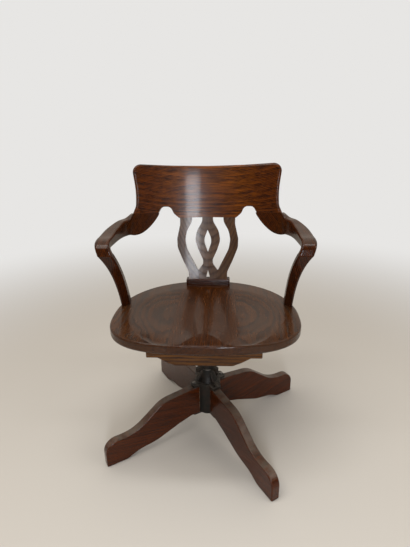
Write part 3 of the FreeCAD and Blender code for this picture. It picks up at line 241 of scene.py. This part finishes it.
def stainedOak(name, turn, pith, **changes):
    # turn lays the wood's X axis along the grain, and pith is where its rings centre, in metres
    values = {**oakBase, **changes}
    material = bpy.data.materials.new(name)
    material.use_nodes = True
    tree = material.node_tree
    shader = tree.nodes["Principled BSDF"]
    spot = place(tree, "TexCoord").outputs["Object"]
    inputs = {"Vector": spot, "Location": pith, "Rotation": tuple(np.radians(turn))}
    wood = place(tree, "Mapping", inputs, vector_type="TEXTURE").outputs[0]
    if "seam" in values:
        # each board is cut from another part of the log: the outer ones flat over its heart,
        # so that their dished faces show closed rings, and the middle one beside it
        sideways = place(tree, "SeparateXYZ", {0: spot}).outputs["X"]
        board = calc(tree, "FLOOR", calc(tree, "MULTIPLY_ADD", sideways, 0.5 / values["seam"], 0.5))
        cut = boardCut
        outer = calc(tree, "ABSOLUTE", board)
        aside = calc(tree, "MULTIPLY_ADD", outer, -cut["middleAside"], cut["middleAside"])
        jump = place(tree, "CombineXYZ", {0: calc(tree, "MULTIPLY", board, cut["along"]),
                                          1: calc(tree, "MULTIPLY_ADD", board, cut["outward"], aside),
                                          2: calc(tree, "MULTIPLY", board, cut["down"])}).outputs[0]
        wood = place(tree, "VectorMath", {0: wood, 1: jump}, operation="ADD").outputs[0]
    grain = useGroup(tree, oakGrain, {
        "Vector": wood, "Ring Spacing": values["ringSpacing"], "Wander": values["wander"],
        "Ripple": values["ripple"], "Seed": values.get("seed", 0.0)})
    patches = useGroup(tree, blotch, {"Vector": spot, "Scale": values.get("patchScale", 7.0)})
    edges = useGroup(tree, edgeWear, {"Vector": spot, "Width": values["rimWidth"], "Breakup": 55.0})
    parts = place(tree, "SeparateXYZ", {0: spot}).outputs
    rim, wear = edges["Rim"], edges["Wear"]
    for level, reach in values.get("calm", ()):
        # glued joints stay dark: no rubbed line within reach of that height
        gap = calc(tree, "ABSOLUTE", calc(tree, "SUBTRACT", parts["Z"], level))
        away = ramp(tree, gap, reach / 3, reach)
        rim, wear = calc(tree, "MULTIPLY", rim, away), calc(tree, "MULTIPLY", wear, away)
    tone = ramp(tree, grain["Tone"], 0.5 - values["contrast"], 0.5 + values["contrast"])
    colour = tint(tree, tone, values["deep"], values["warm"])
    share = calc(tree, "MULTIPLY", patches["Patch"], values["patchShare"])
    if "fade" in values:
        # colour darkens away from the middle of the piece along one axis of the chair
        axis, near, far, most = values["fade"]
        reach = calc(tree, "ABSOLUTE", parts[axis])
        share = calc(tree, "MAXIMUM", share, ramp(tree, reach, near, far, 0.0, most))
    colour = tint(tree, share, colour, tint(tree, tone, values["deep"], values["patchColour"]))
    share = calc(tree, "MULTIPLY", grain["Flecks"], values["fleckShare"])
    colour = tint(tree, share, colour, values["fleckColour"])
    share = calc(tree, "MULTIPLY", grain["Pores"], values["poreShare"])
    colour = tint(tree, share, colour, values["deep"])
    if "veil" in values:
        # painted reflection: a grey sheen of the bright wall, painted in between two distances from the
        # middle, in clouds
        near, far, most = values["veil"]
        share = ramp(tree, calc(tree, "ABSOLUTE", parts["X"]), near, far, 0.0, most)
        cloudy = ramp(tree, cloud(tree, spot, 14.0, 4.0, 0.6), 0.28, 0.60, 0.25, 1.0)
        colour = tint(tree, calc(tree, "MULTIPLY", share, cloudy), colour, values["veilColour"])
    if "seam" in values:
        # glue line between boards, about a millimetre wide
        beside = calc(tree, "SUBTRACT", calc(tree, "ABSOLUTE", parts["X"]), values["seam"])
        off = calc(tree, "ABSOLUTE", beside)
        colour = tint(tree, ramp(tree, off, 0.0007, 0.0002, 0.0, 0.8), colour, values["deep"])
    # painted reflection: a dark band along the rounded arrises, where the dim side of the room is mirrored
    share = calc(tree, "MULTIPLY", rim, values["rimShare"])
    colour = tint(tree, share, colour, values["rimShadeColour"])
    share = calc(tree, "MULTIPLY", wear, values["wornShare"])
    colour = tint(tree, share, colour, values["wornColour"])
    least = values["roughness"] - values["smear"] / 2
    rough = calc(tree, "MULTIPLY_ADD", patches["Smear"], values["smear"], least)
    # paler up-facing faces: partly real dust, partly a painted sheen
    if values["dust"]:
        lies = useGroup(tree, dustFall, {"Vector": spot, "Amount": values["dust"], "Scale": 30.0})["DustAndSheen"]
        colour = tint(tree, lies, colour, values["dustColour"])
        rough = calc(tree, "MULTIPLY_ADD", lies, 0.4, rough, clamp=True)
    bump = place(tree, "Bump", {"Strength": values["bump"], "Distance": 0.0005, "Height": grain["Height"]})
    tree.links.new(colour, shader.inputs["Base Color"])
    tree.links.new(rough, shader.inputs["Roughness"])
    tree.links.new(bump.outputs[0], shader.inputs["Normal"])
    shader.inputs["IOR"].default_value = 1.5
    shader.inputs["Specular IOR Level"].default_value = values["specular"]
    shader.inputs["Coat Weight"].default_value = values["coat"]
    shader.inputs["Coat Roughness"].default_value = values["coatRoughness"]
    return material


def finish(material, *names):
    for name in names:
        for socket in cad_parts[name].material_slots:
            socket.material = material


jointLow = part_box("arm_post_left")[1][2]
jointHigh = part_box("arm_rail_left")[1][2]
calmJoints = ((jointLow, 0.012), (jointHigh, 0.012))
finish(stainedOak("crestOak", (0, 0, 0), (0, 0.30, 0.98), fade=("X", 0.07, 0.20, 0.75), rimShare=0.5,
                  wornShare=0.1, bump=0.4, contrast=0.42, warm=(0.190, 0.050, 0.002, 1),
                  ringSpacing=0.0042, ripple=0.006), "crest_panel")
finish(stainedOak("splatOak", (0, -90, 0), (0.0, 0.60, 0.5), ringSpacing=0.004, wander=0.002,
                  ripple=0.0008, warm=(0.110, 0.052, 0.022, 1), deep=(0.030, 0.012, 0.005, 1),
                  patchShare=0.2, contrast=0.8,
                  patchColour=(0.05, 0.020, 0.008, 1), fleckShare=0.1), "splat")
finish(stainedOak("shoeOak", (0, 0, 0), (0, 0.25, 0.40), warm=(0.022, 0.006, 0.001, 1)), "splat_shoe")
finish(stainedOak("railOak", (0, 0, 90), (0, 0, 0.55), warm=(0.055, 0.013, 0.001, 1), wornShare=0.05,
                  patchShare=0.6, calm=calmJoints, dust=0.15, bump=0.12, smear=0.08),
       "arm_rail_left", "arm_rail_right")
finish(stainedOak("postOak", (0, 80, 0), (0.0, 0.12, 0.5), warm=(0.038, 0.008, 0.0008, 1), wornShare=0.05,
                  patchShare=0.6, calm=calmJoints), "arm_post_left", "arm_post_right")
finish(stainedOak("seatOak", (0, 0, 90), (0.0, 0, -0.60), ringSpacing=0.0023, wander=0.009, ripple=0.0016,
                  warm=(0.070, 0.020, 0.002, 1), seam=0.092, veil=(0.05, 0.15, 0.30), patchScale=9.0,
                  patchColour=(0.040, 0.009, 0.001, 1), fleckShare=0.35, wornColour=(0.16, 0.11, 0.08, 1),
                  contrast=0.55), "seat")
finish(stainedOak("bearerOak", (0, 0, 0), (0, -0.1, 0.33), warm=(0.150, 0.052, 0.005, 1), contrast=0.7,
                  patchShare=0.25), "front_bearer", "rear_bearer")
legBearing = {"leg_rear_right": 32.67, "leg_rear_left": 122.67,
              "leg_front_left": 212.67, "leg_front_right": 302.67}
for legName, bearing in legBearing.items():
    # the legs' dust is partly a painted sheen on their tops
    finish(stainedOak(legName.replace("leg", "oak"), (0, -12, bearing), (0, 0, -0.08), seed=bearing / 40,
                      warm=(0.092, 0.017, 0.001, 1), patchShare=0.4, dust=0.6, wornShare=0.8, contrast=0.7,
                      wornColour=(0.28, 0.20, 0.14, 1), rimWidth=0.004), legName)
finish(stainedOak("dowelWood", (0, 0, 0), (0, 0, 0), warm=(0.2, 0.1, 0.04, 1)),
       "panel_dowels", "knuckle_dowels")
print("oak finished")

# iron and steel
ironBase = {
    "colour": (0.004, 0.004, 0.003, 1),
    "worn": (0.10, 0.095, 0.09, 1),
    "rust": (0.060, 0.028, 0.014, 1),
    "rustShare": 0.25,
    "dustColour": (0.17, 0.15, 0.125, 1),
    "dust": 0.6,
    "roughness": 0.5,
    "grit": 420.0,
    "bump": 0.5,
    "metal": 0.1,
    "specular": 0.25,
}


def castIron(name, **changes):
    # black cast iron: sandy skin, rubbed edges, rust in patches and dust on what looks up
    values = {**ironBase, **changes}
    material = bpy.data.materials.new(name)
    material.use_nodes = True
    tree = material.node_tree
    shader = tree.nodes["Principled BSDF"]
    spot = place(tree, "TexCoord").outputs["Object"]
    grit = cloud(tree, spot, values["grit"], 4.0, 0.65)
    lumps = cloud(tree, spot, values["grit"] / 7, 3.0)
    patches = useGroup(tree, blotch, {"Vector": spot, "Scale": 38.0})
    edges = useGroup(tree, edgeWear, {"Vector": spot, "Width": 0.0015, "Breakup": 160.0})
    dust = useGroup(tree, dustFall, {"Vector": spot, "Amount": values["dust"], "Scale": 75.0})["DustAndSheen"]
    colour = tint(tree, calc(tree, "MULTIPLY", grit, 0.5), values["colour"], (0.014, 0.013, 0.011, 1))
    rusty = calc(tree, "MULTIPLY", patches["Patch"], values["rustShare"])
    colour = tint(tree, rusty, colour, values["rust"])
    colour = tint(tree, calc(tree, "MULTIPLY", edges["Wear"], 0.6), colour, values["worn"])
    colour = tint(tree, dust, colour, values["dustColour"])
    rough = calc(tree, "MULTIPLY_ADD", grit, 0.3, values["roughness"] - 0.15)
    rough = calc(tree, "MULTIPLY_ADD", dust, 0.45, rough, clamp=True)
    metal = calc(tree, "MULTIPLY_ADD", dust, -values["metal"], values["metal"], clamp=True)
    shader.inputs["Specular IOR Level"].default_value = values["specular"]
    height = calc(tree, "MULTIPLY_ADD", lumps, 1.6, grit)
    bump = place(tree, "Bump", {"Strength": values["bump"], "Distance": 0.0006, "Height": height})
    tree.links.new(colour, shader.inputs["Base Color"])
    tree.links.new(rough, shader.inputs["Roughness"])
    tree.links.new(metal, shader.inputs["Metallic"])
    tree.links.new(bump.outputs[0], shader.inputs["Normal"])
    return material


finish(castIron("hubIron"), "hub_casting", "height_nut")
finish(castIron("seatIron", dust=0.25), "seat_iron", "lower_plate")

steelBase = {
    "colour": (0.20, 0.19, 0.18, 1),
    "tarnish": (0.055, 0.045, 0.036, 1),
    "roughness": 0.36,
    "stretched": (1.0, 1.0, 1.0),
}


def agedSteel(name, **changes):
    # steel that has gone brown-grey: tarnish in patches, fine turning marks round it
    values = {**steelBase, **changes}
    material = bpy.data.materials.new(name)
    material.use_nodes = True
    tree = material.node_tree
    shader = tree.nodes["Principled BSDF"]
    spot = place(tree, "TexCoord").outputs["Object"]
    patches = useGroup(tree, blotch, {"Vector": spot, "Scale": 60.0})
    marks = cloud(tree, stretch(tree, spot, values["stretched"]), 900.0, 2.0)
    edges = useGroup(tree, edgeWear, {"Vector": spot, "Width": 0.0006, "Breakup": 200.0})
    colour = tint(tree, patches["Patch"], values["colour"], values["tarnish"])
    colour = tint(tree, calc(tree, "MULTIPLY", edges["Wear"], 0.7), colour, (0.45, 0.43, 0.41, 1))
    rough = calc(tree, "MULTIPLY_ADD", patches["Smear"], 0.3, values["roughness"] - 0.12)
    bump = place(tree, "Bump", {"Strength": 0.2, "Distance": 0.0002, "Height": marks})
    shader.inputs["Metallic"].default_value = 0.9
    tree.links.new(colour, shader.inputs["Base Color"])
    tree.links.new(rough, shader.inputs["Roughness"])
    tree.links.new(bump.outputs[0], shader.inputs["Normal"])
    return material


spindleSteel = agedSteel("spindleSteel", stretched=(1.0, 1.0, 8.0))
screwSteel = agedSteel("screwSteel")
finish(spindleSteel, "spindle", "thrust_washer", "spindle_pin")
finish(screwSteel, "post_screws", "shoe_screws", "bearer_screws", "iron_screws", "ear_screws",
       "lower_plate_screws")
print("metal finished")

spindleThread = {
    "pitch": 0.006,
    "depth": 0.0016,
    "sharpness": 0.7,  # below 1 the root is narrow and the crest broad
    "fade": 0.008,  # the thread dies out over this length at each end
    "chamfer": 0.0015,
    "around": 40,  # points round the screw
    "perTurn": 8,  # rows of points to one pitch
}


def makeThread(name, low, high):
    # a screw: at height z and angle a the radius is the crest less depth times a rounded saw of
    # (z / pitch - a / full turn), and the saw dies out towards both ends
    values = spindleThread
    crest = (high[0] - low[0]) / 2
    rows = int(round((high[2] - low[2]) / values["pitch"] * values["perTurn"]))
    heights, angles = np.meshgrid(np.linspace(low[2], high[2], rows + 1),
                                  np.arange(values["around"]) / values["around"], indexing="ij")
    saw = 0.5 + 0.5 * np.cos(2 * np.pi * (heights / values["pitch"] - angles))
    fromEnd = np.minimum(heights - low[2], high[2] - heights)
    cut = values["depth"] * (1 - saw ** values["sharpness"])
    radius = crest - cut * np.clip(fromEnd / values["fade"], 0, 1)
    radius = radius - values["chamfer"] * np.clip(1 - fromEnd / values["chamfer"], 0, 1)
    full = 2 * np.pi * angles
    middle = (np.array(low[:2]) + np.array(high[:2])) / 2
    wall = np.stack([middle[0] + radius * np.cos(full), middle[1] + radius * np.sin(full), heights], -1)
    points = np.concatenate([wall.reshape(-1, 3), [[*middle, low[2]], [*middle, high[2]]]])
    count = values["around"]
    row, step = np.meshgrid(np.arange(rows), np.arange(count), indexing="ij")
    here, beside = row * count + step, row * count + (step + 1) % count
    quads = np.stack([here, beside, beside + count, here + count], -1).reshape(-1, 4)
    ring = np.arange(count)
    floorFan = np.stack([np.full(count, len(points) - 2), (ring + 1) % count, ring], -1)
    top = rows * count
    topFan = np.stack([np.full(count, len(points) - 1), top + ring, top + (ring + 1) % count], -1)
    mesh = bpy.data.meshes.new(name)
    mesh.from_pydata(points.tolist(), [], quads.tolist() + floorFan.tolist() + topFan.tolist())
    mesh.polygons.foreach_set("use_smooth", np.ones(len(mesh.polygons), bool))
    piece = bpy.data.objects.new(name, mesh)
    bpy.context.scene.collection.objects.link(piece)
    mesh.materials.append(spindleSteel)
    return piece


thread = makeThread("threaded_spindle", *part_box("spindle"))
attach(thread, "seat")
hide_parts("spindle")
print("spindle thread cut")

# floor, light and camera
stage = {
    "floorHalf": 14.0,
    "fadeFrom": 0.8,
    "fadeTo": 2.6,
    "floorColour": (0.60, 0.575, 0.535, 1),
    "backdrop": (0.80, 0.79, 0.775, 1),  # what the camera sees past the floor
    "wallSide": 0.70,  # brightness behind the chair, which the seat and the legs mirror
    "roomSide": 0.07,  # the dim side, which the crest mirrors
    "roomColour": (1.0, 0.91, 0.80, 1),
}


def makeFloor():
    half = stage["floorHalf"]
    mesh = bpy.data.meshes.new("floor")
    corners = np.array([(-half, -half, 0), (half, -half, 0), (half, half, 0), (-half, half, 0)], float)
    mesh.from_pydata(corners.tolist(), [], [(0, 1, 2, 3)])
    floor = bpy.data.objects.new("floor", mesh)
    bpy.context.scene.collection.objects.link(floor)
    material = bpy.data.materials.new("paleFloor")
    material.use_nodes = True
    tree = material.node_tree
    shader = tree.nodes["Principled BSDF"]
    spot = place(tree, "TexCoord").outputs["Object"]
    fine = cloud(tree, spot, 240.0, 3.0)
    colour = tint(tree, calc(tree, "MULTIPLY", fine, 0.12), stage["floorColour"], (0.50, 0.475, 0.435, 1))
    tree.links.new(colour, shader.inputs["Base Color"])
    shader.inputs["Roughness"].default_value = 0.9
    # far from the chair the floor runs into the backdrop
    reach = place(tree, "VectorMath", {0: spot}, operation="LENGTH").outputs["Value"]
    seen = place(tree, "LightPath").outputs["Is Camera Ray"]
    share = calc(tree, "MULTIPLY", seen, ramp(tree, reach, stage["fadeFrom"], stage["fadeTo"]))
    glow = place(tree, "Emission", {"Color": stage["backdrop"], "Strength": 1.0}).outputs[0]
    both = place(tree, "MixShader", {0: share, 1: shader.outputs[0], 2: glow}).outputs[0]
    tree.links.new(both, tree.nodes["Material Output"].inputs["Surface"])
    mesh.materials.append(material)


def lightWorld():
    # bright behind the chair and dim behind the camera; the camera itself sees the plain backdrop
    world = bpy.data.worlds.new("studio")
    bpy.context.scene.world = world
    world.use_nodes = True
    tree = world.node_tree
    tree.nodes.clear()
    way = place(tree, "SeparateXYZ", {0: place(tree, "TexCoord").outputs["Generated"]})
    side = calc(tree, "MULTIPLY_ADD", way.outputs["Z"], 0.35, way.outputs["Y"])
    level = ramp(tree, side, -0.35, 0.35, stage["roomSide"], stage["wallSide"])
    room = place(tree, "Background", {"Color": stage["roomColour"], "Strength": level}).outputs[0]
    seen = place(tree, "Background", {"Color": stage["backdrop"], "Strength": 1.0}).outputs[0]
    isCamera = place(tree, "LightPath").outputs["Is Camera Ray"]
    both = place(tree, "MixShader", {0: isCamera, 1: room, 2: seen}).outputs[0]
    place(tree, "OutputWorld", {"Surface": both})


def turnAbout(axis, degrees):
    half = np.radians(degrees) / 2
    return np.array([np.cos(half), *(np.sin(half) * np.array(axis, float))])


def combine(first, second):
    # product of two quaternions: second is turned first, in the frame of first
    a, b = first, second
    return np.array([a[0] * b[0] - a[1:] @ b[1:], *(a[0] * b[1:] + b[0] * a[1:] + np.cross(a[1:], b[1:]))])


def aim(thing, at, heading, tilt, roll=0.0):
    # heading is counter-clockwise from +Y, tilt is above the horizon, roll is about the line of sight
    turn = combine(turnAbout((0, 0, 1), heading), turnAbout((1, 0, 0), 90 + tilt))
    thing.location = at
    thing.rotation_mode = "QUATERNION"
    thing.rotation_quaternion = combine(turn, turnAbout((0, 0, 1), roll))
    bpy.context.scene.collection.objects.link(thing)


lamps = {
    "overheadBox": {"at": (-0.9, -1.0, 2.5), "to": (0, 0, 0.5), "size": (1.5, 1.2), "power": 22,
                    "colour": (1, 0.94, 0.86)},
    "sideBox": {"at": (1.9, -0.9, 1.7), "to": (0, 0, 0.5), "size": (1.2, 1.2), "power": 9,
                "colour": (1, 0.94, 0.86)},
    "tallWindow": {"at": (0.22, -2.4, 0.85), "to": (0, 0.1, 0.7), "size": (0.28, 1.0), "power": 27,
                   "colour": (0.90, 0.94, 1)},
    "ceilingStrip": {"at": (0, -0.25, 2.4), "to": (0, 0, 0.5), "size": (1.6, 0.22), "power": 12,
                     "colour": (1, 1, 1)},
}


def lightLamps():
    for name, values in lamps.items():
        data = bpy.data.lights.new(name, "AREA")
        data.shape = "RECTANGLE"
        data.size, data.size_y = values["size"]
        data.energy = values["power"]
        data.color = values["colour"]
        lamp = bpy.data.objects.new(name, data)
        way = np.array(values["to"], float) - np.array(values["at"], float)
        heading = np.degrees(np.arctan2(-way[0], way[1]))
        tilt = np.degrees(np.arcsin(way[2] / np.linalg.norm(way)))
        aim(lamp, values["at"], heading, tilt)
        lamp.visible_camera = False


cameraView = {
    "at": (0.0530, -1.1475, 0.9986),
    "heading": 2.786,
    "tilt": -20.847,
    "roll": -0.967,
    "focal": 403.9,  # in pixels of the 547 pixel high picture
    "pictureHeight": 547,
}


def setCamera():
    data = bpy.data.cameras.new("camera")
    data.sensor_width = 36.0
    data.lens = cameraView["focal"] / cameraView["pictureHeight"] * data.sensor_width
    data.clip_start = 0.05
    camera = bpy.data.objects.new("camera", data)
    aim(camera, cameraView["at"], cameraView["heading"], cameraView["tilt"], cameraView["roll"])
    bpy.context.scene.camera = camera


makeFloor()
lightWorld()
lightLamps()
setCamera()
bpy.context.scene.view_settings.view_transform = "Standard"
print("stage lit")

bpy.context.view_layer.update()
